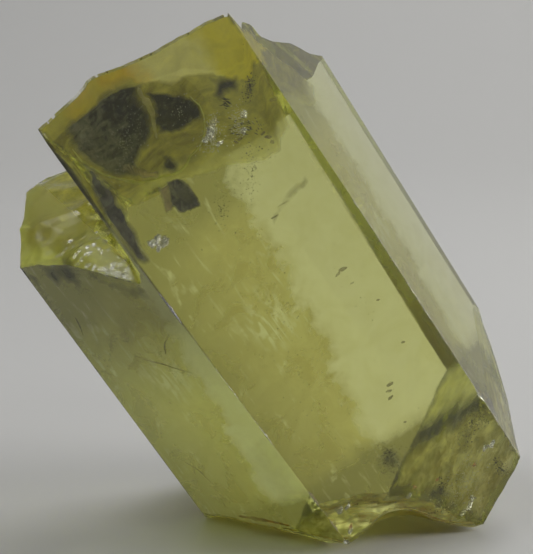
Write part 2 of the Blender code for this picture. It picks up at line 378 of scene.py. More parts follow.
def finish_surface(made):
    """Marks which faces are grown prism faces and which are broken, and gives every point its place in the crystal."""
    mesh = made.data
    built = bmesh.new()
    built.from_mesh(mesh)
    bmesh.ops.triangulate(built, faces=[face for face in built.faces if len(face.verts) > 3])
    built.to_mesh(mesh)
    built.free()
    count = len(mesh.vertices)
    co = np.empty(count * 3)
    mesh.vertices.foreach_get("co", co)
    local = (co.reshape(-1, 3) / MM - np.array(FOOT)) @ TURN_ROWS
    grain = mesh.attributes.new("grain", "FLOAT_VECTOR", "POINT")
    grain.data.foreach_set("vector", local.astype(np.float32).ravel())
    sides = len(mesh.polygons)
    normal = np.empty(sides * 3)
    mesh.polygons.foreach_get("normal", normal)
    normal = normal.reshape(-1, 3) @ TURN_ROWS
    corners_of = np.empty(len(mesh.loops), np.int32)
    mesh.loops.foreach_get("vertex_index", corners_of)
    triples = local[corners_of.reshape(-1, 3)]
    kind = np.ones(sides, np.int32)
    for n, (direction, far) in enumerate(FACES):
        on = np.abs(triples @ np.array(direction) - far).max(axis=1) < 0.002
        kind[on] = 0 if n < 3 else 2
    grown = kind != 1
    down = (normal @ TURN_ROWS.T)[:, 2] < -0.45
    low = (triples @ TURN_ROWS.T + np.array(FOOT))[:, :, 2].max(axis=1) < 1.9
    finish = mesh.attributes.new("finish", "FLOAT_VECTOR", "FACE")
    finish.data.foreach_set("vector", np.stack((kind == 1, kind == 2, (kind == 1) & down & low), axis=1).astype(np.float32).ravel())
    mesh.polygons.foreach_set("use_smooth", ~grown)
    # Edges are sharp where a grown face ends and where a break turns quickly.
    edges = np.empty(len(mesh.loops), np.int32)
    mesh.loops.foreach_get("edge_index", edges)
    starts = np.empty(sides, np.int32)
    mesh.polygons.foreach_get("loop_start", starts)
    owner = np.repeat(np.arange(sides), np.diff(np.append(starts, len(mesh.loops))))
    order = np.argsort(edges, kind="stable")
    pair_edges, pair_owner = edges[order], owner[order]
    first = np.flatnonzero(pair_edges[1:] == pair_edges[:-1])
    one, two = pair_owner[first], pair_owner[first + 1]
    turned = (normal[one] * normal[two]).sum(axis=1) < math.cos(math.radians(32.0))
    sharp = np.zeros(len(mesh.edges), bool)
    sharp[pair_edges[first]] = turned | (grown[one] != grown[two])
    mesh.attributes.new("sharp_edge", "BOOLEAN", "EDGE").data.foreach_set("value", sharp)
    mesh.update()


# ---------------------------------------------------------------- what is sealed in the crystal, in mm
# Outlines on the back of the spur, (p, q): the scar's dark reflection painted as shade in two lobes, its crease and
# bright rim painted as highlights, and a pale strip.
LOBE_LEFT = (
    (0.52, 0.15), (0.89, 0.13), (1.35, 0.15), (1.81, 0.17), (2.31, 0.20), (2.74, 0.18), (3.20, 0.20), (2.96, 0.74), (3.08, 1.34),
    (2.95, 1.97), (2.88, 2.40), (2.55, 2.66), (2.20, 2.75), (1.95, 3.10), (2.10, 3.70), (1.70, 3.60), (1.25, 3.02), (0.96, 2.70), (0.68, 2.05), (0.48, 1.50), (0.46, 0.85),
)
LOBE_RIGHT = (
    (3.16, 0.72), (3.57, 0.74), (3.96, 0.95), (4.28, 1.30), (4.42, 1.99), (4.30, 2.32), (3.93, 2.20), (3.55, 2.35), (3.28, 2.62),
    (2.98, 2.62), (2.99, 1.93), (3.08, 1.20),
)
LOBE_LOW = ((2.77, 3.45), (3.03, 3.99), (3.20, 4.61), (2.88, 4.88), (2.53, 4.92), (2.58, 4.19))
CREASE = ((3.00, 0.30), (2.97, 0.72), (3.05, 1.05), (3.03, 1.60), (2.92, 2.10), (2.82, 2.60))
PALE_STRIP = ((1.58, 2.50), (1.89, 3.07), (2.46, 4.42), (2.45, 4.92), (1.85, 3.78), (1.40, 2.80))
RIM = (
    (0.46, 1.01), (0.53, 1.73), (0.70, 2.19), (0.92, 2.61), (1.34, 3.17), (1.88, 4.13), (2.39, 4.90), (2.81, 5.01), (3.19, 4.87),
    (3.49, 4.40), (3.78, 3.56), (4.10, 2.90), (4.34, 2.45), (4.38, 1.87), (4.21, 1.20),
)
# Cracks level with the front face, and in WALL_STRIP a dark sheet painted as the step wall's shade, (p, s): outline,
# how far in, and lean.
SQUARE = ((2.13, 13.65), (2.51, 13.49), (2.65, 13.02), (2.59, 12.31), (2.36, 12.43), (1.90, 12.61), (1.89, 12.98))
SQUARE_SIDE = ((1.86, 13.66), (2.20, 13.49), (1.96, 12.87), (1.58, 12.82), (1.66, 13.16))
WALL_STRIP = (
    (0.46, 16.05), (0.64, 15.60), (0.68, 15.10), (0.66, 14.60), (0.58, 14.00), (0.54, 13.50), (0.48, 12.90), (0.34, 12.20), (0.10, 12.20),
    (-0.10, 12.60), (-0.12, 13.37), (-0.10, 14.10), (0.00, 14.60), (0.14, 15.10), (0.28, 15.70),
)
UPPER_DARK = ((4.88, 15.45), (5.25, 15.38), (5.58, 15.12), (5.66, 14.72), (5.40, 14.50), (5.02, 14.62), (4.80, 14.95))
UPPER_GREY = ((5.70, 15.25), (6.30, 14.95), (6.42, 14.60), (6.05, 14.62), (5.72, 14.85))
# A soft brown streak and two veils of pale wisps, (p, s).
STREAK = ((5.66, 11.02), (5.72, 10.80), (5.30, 10.72), (4.86, 10.62), (4.30, 10.50), (4.02, 10.42), (4.05, 10.56), (4.60, 10.78), (5.15, 11.00))
# Small bright cracks: place (p, q, s), half sizes across and along, and turn in degrees. They face the glint lamp.
GLINT_FACING = ((0.135, -0.945, 0.297), (0.0, 0.002, 0.0057))
GLINTS = (
    ((4.25, 0.70, 14.23), 0.20, 0.10, 20), ((4.05, 0.70, 14.08), 0.24, 0.13, 50), ((3.81, 0.70, 14.00), 0.15, 0.09, 10), ((4.08, 0.60, 13.64), 0.14, 0.08, 0),
    ((5.18, 0.80, 13.85), 0.14, 0.08, 30), ((4.89, 0.80, 13.42), 0.12, 0.08, 60),
    ((0.87, 0.30, 12.60), 0.17, 0.09, 15), ((0.67, 0.30, 12.56), 0.14, 0.12, 60), ((0.88, 0.35, 12.33), 0.18, 0.09, -20), ((0.71, 0.30, 12.32), 0.12, 0.08, 40),
    ((1.06, 0.35, 12.40), 0.15, 0.07, 80),
    ((5.87, 0.60, -0.92), 0.17, 0.08, 20), ((5.65, 0.60, -0.85), 0.14, 0.07, -20), ((4.07, 0.60, -2.20), 0.18, 0.09, 30), ((3.77, 0.60, -2.25), 0.15, 0.07, 0),
    ((4.28, 0.50, -2.02), 0.12, 0.07, 70), ((0.50, 0.30, 1.11), 0.15, 0.08, 40), ((0.72, 0.30, 1.02), 0.11, 0.07, 0), ((0.36, 0.20, 0.30), 0.14, 0.07, 30),
    ((2.60, 0.50, -0.30), 0.12, 0.07, 10),
)
RUST_GLINTS = (((4.99, 0.70, -1.13), 0.10, 0.05, 10), ((2.90, 0.60, -0.20), 0.08, 0.04, 40), ((3.70, 0.90, -0.69), 0.07, 0.04, -20), ((0.45, 0.20, 0.42), 0.09, 0.04, 30))
# Those of the shelf, (p, q), half sizes and turn. They lie above its frost and face the glint lamp too.
SHELF_FACING = ((0.138, -0.495, 0.858), (0.0, 0.0, 0.0))
SHELF_GLINTS = (
    (-1.06, 2.02, 0.13, 0.08, 0), (-0.96, 1.84, 0.13, 0.08, 20), (-0.86, 1.67, 0.13, 0.08, 40), (-0.77, 1.51, 0.13, 0.08, 60), (-0.66, 1.33, 0.13, 0.08, 80),
    (-0.57, 1.16, 0.13, 0.08, 100), (-0.47, 0.99, 0.13, 0.08, 120), (-0.38, 0.83, 0.13, 0.08, 140), (-0.33, 0.95, 0.09, 0.07, 0), (-0.17, 1.15, 0.09, 0.07, 30),
    (-0.13, 1.38, 0.09, 0.07, 60), (-0.2, 1.58, 0.09, 0.07, 90), (-1.15, 2.48, 0.1, 0.07, 0), (-1.08, 2.27, 0.1, 0.07, 50), (-0.78, 2.23, 0.1, 0.07, 100),
    (-1.49, 3.59, 0.1, 0.07, 150), (-1.32, 3.45, 0.1, 0.07, 20), (-0.29, 2.61, 0.1, 0.07, 70), (-0.22, 2.25, 0.1, 0.07, 120), (-0.49, 3.34, 0.1, 0.07, 170),
    (-0.24, 1.92, 0.1, 0.07, 40), (-0.88, 3.68, 0.1, 0.07, 90), (-1.26, 2.3, 0.1, 0.07, 140),
    (-0.73, 1.6, 0.13, 0.09, 0), (-0.64, 1.44, 0.13, 0.09, 35), (-0.57, 1.24, 0.13, 0.09, 70), (-0.42, 1.13, 0.13, 0.09, 105), (-0.3, 1.37, 0.13, 0.09, 140),
    (-0.47, 1.54, 0.13, 0.09, 175), (-0.27, 1.12, 0.13, 0.09, 30), (-0.75, 3.04, 0.08, 0.05, 0), (-0.73, 2.38, 0.08, 0.05, 50), (-0.53, 2.36, 0.08, 0.05, 100),
    (-0.48, 2.17, 0.08, 0.05, 150), (-0.49, 2.03, 0.08, 0.05, 20), (-0.42, 2.94, 0.08, 0.05, 70), (-0.97, 2.47, 0.08, 0.05, 120), (-0.89, 2.28, 0.08, 0.05, 170),
    (-0.16, 3.22, 0.08, 0.05, 40), (0.07, 2.62, 0.08, 0.05, 90), (-1.13, 3.49, 0.08, 0.05, 140), (-0.98, 3.26, 0.08, 0.05, 10),
)
# Brown needles and flakes: place, half length, half width, turn in degrees from the crystal's length.
BROWN = (
    ((4.66, 0.80, 10.72), 0.20, 0.02, -80), ((4.20, 0.80, 10.56), 0.14, 0.02, -80), ((5.02, 0.60, 7.73), 0.14, 0.06, -70), ((4.80, 0.60, 7.70), 0.10, 0.05, -100), ((5.05, 0.90, 7.04), 0.07, 0.03, -80),
    ((5.41, 0.70, 6.04), 0.06, 0.03, -60), ((5.33, 0.80, 4.23), 0.07, 0.04, -60), ((4.18, 0.50, 3.45), 0.12, 0.06, -75), ((4.02, 0.50, 3.28), 0.10, 0.05, -60),
    ((3.94, 0.50, 3.05), 0.10, 0.05, -90), ((3.92, 0.90, 1.84), 0.06, 0.03, -50), ((6.16, 0.70, 13.62), 0.10, 0.07, -60), ((5.39, 0.60, 12.81), 0.10, 0.05, -50),
    ((5.33, 0.60, 13.01), 0.08, 0.04, -90), ((5.42, 0.60, 12.60), 0.07, 0.05, -20), ((4.65, 0.60, 13.33), 0.09, 0.04, -70), ((4.50, 0.60, 13.34), 0.08, 0.04, -30),
)
# Clouds of specks: centre (p, q, s), half sizes, turn in degrees, how many, size of a speck.
DARK_CLOUDS = (
    ((2.85, 1.50, 0.93), (0.45, 0.5, 0.30), -30, 260, 0.022), ((3.55, 1.20, -1.33), (0.55, 0.4, 0.22), -30, 300, 0.022),
    ((5.66, 0.80, -2.00), (0.25, 0.4, 0.30), -20, 220, 0.022), ((5.75, 1.60, -0.20), (0.70, 0.5, 0.25), -20, 360, 0.020), ((6.30, 1.20, 0.10), (0.20, 0.4, 0.40), 10, 160, 0.020),
    ((5.80, 0.90, 14.35), (0.30, 0.3, 0.12), -35, 300, 0.018), ((3.05, 1.0, 11.9), (0.5, 0.5, 0.25), -30, 110, 0.016), ((4.4, 0.9, 12.2), (0.9, 0.5, 0.4), -30, 190, 0.015),
    ((2.0, 1.2, 6.0), (1.2, 0.8, 3.5), 0, 120, 0.014), ((4.9, 0.8, 6.0), (1.0, 0.6, 3.5), 0, 60, 0.012), ((-0.9, 1.9, 8.0), (0.5, 0.1, 3.5), 0, 80, 0.014),
)
PALE_CLOUDS = (
    ((4.05, 0.90, 13.95), (0.40, 0.3, 0.30), -20, 520, 0.018), ((4.9, 0.9, 13.7), (0.45, 0.3, 0.3), -30, 320, 0.016), ((4.4, 1.2, -1.6), (0.9, 0.8, 0.5), 0, 500, 0.018),
    ((1.9, 0.9, 15.4), (0.9, 0.5, 0.9), 0, 260, 0.012), ((3.7, 0.7, 15.2), (0.4, 0.4, 0.5), 0, 80, 0.012),
)
# Fine cracks close inside the left face, (q, s).
LEFT_CRACKS = (
    ((2.77, 8.78), (2.6, 8.63), (2.31, 8.47), (1.92, 8.31), (1.5, 8.05), (1.1, 7.84)),
    ((1.56, 8.72), (1.36, 9.13), (0.9, 9.52)),
    ((3.89, 10.56), (3.97, 10.18), (4.12, 9.79)),
    ((4.01, 3.94), (3.70, 3.55), (3.56, 2.76)),
)
# Soft dark patches above the lower break, (p, s) outlines with how far in.
DARK_PATCHES = (
    (((2.47, 1.48), (2.89, 1.46), (3.29, 1.14), (3.33, 0.67), (3.05, 0.36), (2.59, 0.46), (2.33, 0.99)), 1.5),
    (((2.66, -0.66), (3.20, -0.64), (3.70, -0.96), (4.02, -1.42), (3.88, -1.72), (3.37, -1.48), (2.87, -1.15)), 1.0),
    (((5.44, -2.02), (5.86, -1.93), (6.06, -2.11), (5.90, -2.45), (5.42, -2.49), (5.20, -2.28)), 0.8),
    (((4.95, 0.38), (5.40, 0.36), (5.90, 0.16), (6.10, 0.02), (5.51, -0.05), (5.05, 0.10)), 1.4),
)
# Dark marks that hang from the shelf's front edge, close inside the left face, (q, s), and a thin line of rust there.
HANGING_DARK = (
    ((3.39, 12.89), (2.48, 12.77), (2.48, 12.23), (2.87, 11.47), (3.04, 12.0), (3.64, 11.86), (3.92, 12.41)),
    ((2.16, 12.39), (1.83, 12.14), (1.71, 11.54), (2.02, 11.87), (2.3, 12.03)),
    ((4.57, 12.54), (4.36, 12.38), (4.23, 11.89), (4.39, 11.13), (4.54, 11.71), (4.59, 12.24)),
)
HANGING_GREY = ((1.67, 11.87), (0.56, 11.32), (0.64, 10.7), (1.32, 10.99), (1.76, 11.42))
RUST_LINE = ((3.49, 1.32), (2.86, 1.18), (2.28, 1.03), (1.74, 0.84))
FILM_THICK = 0.02
# Where the break surfaces are frosted: outlines over the spur's back, the shelf and the lower break, (p, q).
SPUR_FROST = ((-0.05, -0.10), (6.50, -0.10), (6.60, 2.00), (6.80, 5.40), (1.28, 5.40), (0.95, 4.58), (0.60, 3.62), (0.27, 2.50), (0.04, 1.20))  # across, and the square root of the way in
SHELF_FROST = ((-0.35, 2.10), (0.60, 5.00), (0.90, 5.70), (6.50, 5.90), (7.90, 6.20), (6.90, 8.35), (-0.30, 8.35), (-2.25, 5.10), (-1.90, 4.60))
LOWER_PALE = (
    (4.55, 8.55), (4.95, 7.90), (5.35, 7.20), (5.80, 6.50), (6.30, 5.60), (6.90, 4.60), (7.20, 4.00), (7.25, 2.50), (6.50, 0.08),
    (9.20, 0.08), (9.20, 8.55),
)
LOWER_FROST = ((2.60, 0.08), (6.40, 0.08), (7.10, 2.50), (7.05, 4.00), (6.75, 4.60), (6.15, 5.60), (5.65, 6.50), (5.20, 7.20), (4.80, 7.90), (4.40, 8.55), (2.60, 8.55))


def within(u, v, outline):
    """Whether each place is inside a closed outline."""
    found = np.zeros(u.shape, bool)
    points = np.array(outline)
    for (a, b), (c, d) in zip(points, np.roll(points, -1, axis=0)):
        crosses = (b > v) != (d > v)
        found ^= crosses & (u < (c - a) * (v - b) / (d - b if d != b else 1e-9) + a)
    return found


def sound(p, q, s, margin=0.06):
    """Whether each place is inside the crystal."""
    good = (s < head(p, q) - 0.3 * margin) & (s > lower_break(p, q) + 0.3 * margin)
    for (a, b, c), far in FACES:
        good &= a * p + b * q + c * s < far - margin
    good &= (np.stack((p, q, s), axis=-1) @ TURN_ROWS.T)[..., 2] + FOOT[2] > foot_hollow(p, q) + margin
    for (point, normal), more in (((CORNER_POINT, CORNER_NORMAL), 0.1), (chip_plane(), 0.02)):
        good &= sum((x - y) * z for x, y, z in zip((p, q, s), point, normal)) < -margin - more
    return good


def sheet(outline, place, spacing=0.04, jag=0.05, seed=0, soft=0.08, bare=0.06):
    """The points and faces of a thin closed film, and how full it is at each point: only its upper side is seen, and it thins out towards its edge.

    place(u, v, side) says where its lower and its upper side run."""
    points = np.array(outline)
    low, high = points.min(axis=0) - 2 * spacing, points.max(axis=0) + 2 * spacing
    us, vs = np.arange(low[0], high[0], spacing), np.arange(low[1], high[1], spacing)
    u, v = np.meshgrid(us[:-1] + spacing / 2, vs[:-1] + spacing / 2, indexing="ij")
    moved_u = u + jag * (lumps(u * 3.1, v * 3.1, seed) + 0.5 * lumps(u * 8.3, v * 8.3, seed + 1))
    moved_v = v + jag * (lumps(u * 2.7, v * 3.3, seed + 2) + 0.5 * lumps(u * 7.9, v * 8.7, seed + 3))
    keep = within(moved_u, moved_v, outline) & sound(*place(u, v, np.zeros_like(u)), bare)
    corner_u, corner_v = np.meshgrid(us, vs, indexing="ij")
    safe = sound(*place(corner_u, corner_v, np.ones_like(corner_u)), 0.0)
    keep &= safe[:-1, :-1] & safe[1:, :-1] & safe[:-1, 1:] & safe[1:, 1:]
    padded = np.pad(keep, 1)
    inner, full = padded.copy(), padded.astype(float)
    layers = max(1, int(soft / spacing))
    for _ in range(layers):
        inner[1:-1, 1:-1] &= inner[:-2, 1:-1] & inner[2:, 1:-1] & inner[1:-1, :-2] & inner[1:-1, 2:]
        full += inner
    full = (full[:-1, :-1] + full[1:, :-1] + full[:-1, 1:] + full[1:, 1:]) / (4.0 * (layers + 1))
    i, j = np.nonzero(keep)
    total = len(us) * len(vs)
    number = np.arange(total).reshape(len(us), len(vs))
    a, b, c, d = number[i, j], number[i + 1, j], number[i + 1, j + 1], number[i, j + 1]
    faces = [np.stack((a, b, c, d), axis=1) + total, np.stack((d, c, b, a), axis=1)]
    for di, dj, e, f in ((-1, 0, d, a), (1, 0, b, c), (0, -1, a, b), (0, 1, c, d)):
        bare_side = ~padded[i + 1 + di, j + 1 + dj]
        faces.append(np.stack((e[bare_side], f[bare_side], f[bare_side] + total, e[bare_side] + total), axis=1))
    used, faces = np.unique(np.concatenate(faces), return_inverse=True)
    side, flat = np.divmod(used, total)
    iu, iv = np.divmod(flat, len(vs))
    return np.stack(place(us[iu], vs[iv], side), axis=1), faces.reshape(-1, 4), full[iu, iv] * side


def under(surface, deep):
    """Close under a break at the head, or close over one at the foot where deep is less than zero."""
    def place(u, v, side):
        return u, v, surface(u, v) - deep - math.copysign(FILM_THICK, deep) * (1 - side if deep > 0 else side)

    return place


def on_lip(deep):
    """Close under the spur's back, with its lines closest together along the steep lip."""
    def place(u, v, side):
        q = 0.02 + 0.19 * v * np.abs(v)
        return u, q, spur(u, np.maximum(q, 0.0)) - deep - FILM_THICK * (1 - side)

    return place


def by_lip(outline):
    """An outline over the spur's back in the terms of on_lip."""
    return tuple((p, math.sqrt(max(0.0, q - 0.02) / 0.19)) for p, q in outline)


def over_foot(u, v, side):
    """Close over the hollows of the foot, u and v running along the ground."""
    ground = (np.stack((u, v, np.zeros_like(u)), axis=-1) - np.array(FOOT)) @ TURN_ROWS
    high = foot_hollow(ground[..., 0], ground[..., 1]) + 0.08 + FILM_THICK * (1 - side)
    spots = (np.stack((u, v, high), axis=-1) - np.array(FOOT)) @ TURN_ROWS
    return spots[..., 0], spots[..., 1], spots[..., 2]


def level_with_front(deep, lean=0.0, about=0.0):
    def place(u, v, side):
        return u, deep + lean * (u - about) + 0.05 * lumps(u * 1.3, v * 1.3, 5) - FILM_THICK * side, v

    return place


def beside_left_face(deep):
    """Close inside the left face, u running along q and v along s."""
    def place(u, v, side):
        inside = deep + FILM_THICK * (1 - side)
        return -0.5774 * u + 0.866 * inside, u + 0.5 * inside, v

    return place


def ribbon(name, path, half, place):
    """A narrow closed strip along a path on a surface, drawn out thin at both ends."""
    path = np.array(path)
    reach = np.concatenate(([0.0], np.cumsum(np.linalg.norm(np.diff(path, axis=0), axis=1))))
    count = int(reach[-1] / 0.05)
    share = np.linspace(0.0, 1.0, count)
    line = np.stack([np.interp(share * reach[-1], reach, path[:, n]) for n in (0, 1)], axis=1)
    for _ in range(6):
        line[1:-1] = (line[:-2] + 2 * line[1:-1] + line[2:]) / 4
    ahead = np.gradient(line, axis=0)
    ahead /= np.linalg.norm(ahead, axis=1)[:, None]

    def put(u, v, w):
        n = np.rint(u).astype(int)
        wide = half * np.sqrt(np.maximum(0.0, 1.0 - (2.0 * share[n] - 1.0) ** 2)) * (0.8 + 0.4 * lumps(share[n] * 17.0, share[n] * 0.0, 3)) + 0.004
        a, b = line[n, 0] - ahead[n, 1] * v * wide, line[n, 1] + ahead[n, 0] * v * wide
        return place(a, b, w)

    return block(name, np.arange(count).astype(float), np.array((-1.0, 0.0, 1.0)), np.array((0.0, 1.0)), put)


def ball(rings, sides):
    """A small closed ball: its points and faces."""
    points, faces = [(0.0, 0.0, 1.0)], []
    for n in range(1, rings):
        a = math.pi * n / rings
        points += [(math.sin(a) * math.cos(2 * math.pi * k / sides), math.sin(a) * math.sin(2 * math.pi * k / sides), math.cos(a)) for k in range(sides)]
    points.append((0.0, 0.0, -1.0))
    last = len(points) - 1
    for k in range(sides):
        m = (k + 1) % sides
        faces.append((0, 1 + k, 1 + m))
        faces.append((last, last - sides + m, last - sides + k))
        for n in range(rings - 2):
            one, two = 1 + n * sides, 1 + (n + 1) * sides
            faces.append((one + k, two + k, two + m))
            faces.append((one + k, two + m, one + m))
    return np.array(points), np.array(faces)


def grains(shape, places, radii, turns, seed, lumpy=0.25):
    """Many small lumpy grains as one set of points and faces."""
    points, faces = shape
    chance = np.random.default_rng(seed)
    count = len(places)
    bodies = points[None] * (1.0 + lumpy * chance.uniform(-1.0, 1.0, (count, len(points), 1))) * radii[:, None, :]
    bodies = np.einsum("nij,nkj->nki", turns, bodies) + places[:, None, :]
    return bodies.reshape(-1, 3), (faces[None] + len(points) * np.arange(count)[:, None, None]).reshape(-1, 3)


def turn_in_face(degrees):
    """Turns about the way in from the front face."""
    a = np.radians(degrees)
    turns = np.zeros((len(a), 3, 3))
    turns[:, 0, 0], turns[:, 0, 2], turns[:, 2, 0], turns[:, 2, 2], turns[:, 1, 1] = np.cos(a), np.sin(a), -np.sin(a), np.cos(a), 1.0
    return turns


def cloud(clouds, seed):
    """Specks, thickest in the middle of each cloud, most of them flat with the front face."""
    chance = np.random.default_rng(seed)
    made, held = [], 0
    for centre, halves, turn, count, size in clouds:
        spots = chance.normal(0.0, 0.55, (count, 3)) * np.array(halves)
        spots = spots + 0.25 * np.array(halves) * np.sin(spots[:, ::-1] * 9.0 / np.array(halves)[::-1] * 0.3)
        spots = np.einsum("nij,nj->ni", turn_in_face(np.full(count, float(turn))), spots) + np.array(centre)
        spots = spots[sound(*spots.T)]
        count = len(spots)
        radii = size * chance.uniform(0.35, 1.0, (count, 1)) ** 1.5 * np.array((1.0, 0.35, 1.5)) * chance.uniform(0.6, 1.5, (count, 3))
        points, faces = grains(ball(2, 4), spots, radii, turn_in_face(chance.uniform(-60.0, 60.0, count) + turn), seed + held)
        made.append((points, faces + held))
        held += len(points)
    return np.concatenate([points for points, _ in made]), np.concatenate([faces for _, faces in made])


def flakes(rows, seed, lumpy):
    places = np.array([row[0] for row in rows])
    one, two = np.array([row[1] for row in rows]), np.array([row[2] for row in rows])
    return grains(ball(8, 10), places, np.stack((two, 0.35 * two, one), axis=1), turn_in_face(np.array([float(row[3]) for row in rows])), seed, lumpy)


def facets(rows, facing, seed, thin=0.12, spread=0.12, level=False):
    """Small flat cracks that face more or less one way, each with two smaller ones beside it, at its own height where they are level."""
    chance = np.random.default_rng(seed)
    places, radii, turns = [], [], []
    for place, one, two, turn in rows:
        for n in range(3):
            share = (1.0, 0.6, 0.4)[n]
            beside = np.clip(chance.normal(0.0, 0.7, 3), -0.7, 0.7) * np.array((one, one, 0.0) if level else (one, 0.1, two)) if n else 0.0
            places.append(np.array(place) + beside)
            radii.append((one * share, two * share, thin * two * share))
            normal = np.array(facing[0]) + (14.0 - place[2]) * np.array(facing[1]) + spread * chance.normal(size=3)
            turns.append(np.array((Vector(normal).to_track_quat("Z", "Y").to_matrix() @ Matrix.Rotation(math.radians(turn + 40.0 * n), 3, "Z"))))
    return grains(ball(6, 8), np.array(places), np.array(radii), np.array(turns), seed, 0.22)


def slivers():
    """Short dark lines that fan across the crack at the right of the spur's scar."""
    chance = np.random.default_rng(17)
    count = 46
    a, b = chance.uniform(-1.0, 1.0, count), chance.uniform(-1.0, 1.0, count)
    places = np.stack((5.05 + 0.42 * a + 0.16 * b, 0.75 + 0.05 * a, 13.55 - 0.32 * a + 0.26 * b), axis=1)
    more = chance.uniform(-1.0, 1.0, (20, 2))
    places = np.concatenate((places, np.stack((4.93 + 0.14 * more[:, 0], 0.8 + 0.0 * more[:, 0], 14.48 + 0.14 * more[:, 1]), axis=1)))
    count = len(places)
    radii = np.stack((0.010 + 0.008 * chance.random(count), np.full(count, 0.01), 0.05 + 0.07 * chance.random(count)), axis=1)
    return grains(ball(2, 5), places, radii, turn_in_face(-38.0 + 60.0 * (places[:, 0] - 4.9) + 9.0 * chance.normal(size=count)), 19)


def merged(name, parts, material):
    """One piece out of several sets of points and faces."""
    points, polygons, full, held = [], [], [], 0
    for some, faces, *rest in parts:
        points.append(some)
        full.append(rest[0] if rest else np.ones(len(some)))
        polygons += (faces + held).tolist()
        held += len(some)
    return sealed(solid(name, np.concatenate(points), polygons), material, np.concatenate(full))


def sealed(made, material, full=None):
    mesh = made.data
    count = len(mesh.vertices)
    co = np.empty(count * 3)
    mesh.vertices.foreach_get("co", co)
    local = (co.reshape(-1, 3) / MM - np.array(FOOT)) @ TURN_ROWS
    mesh.attributes.new("grain", "FLOAT_VECTOR", "POINT").data.foreach_set("vector", local.astype(np.float32).ravel())
    full = np.ones(count) if full is None else full
    mesh.attributes.new("full", "FLOAT", "POINT").data.foreach_set("value", full.astype(np.float32))
    mesh.materials.append(material)
    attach(made, "root")
    return made


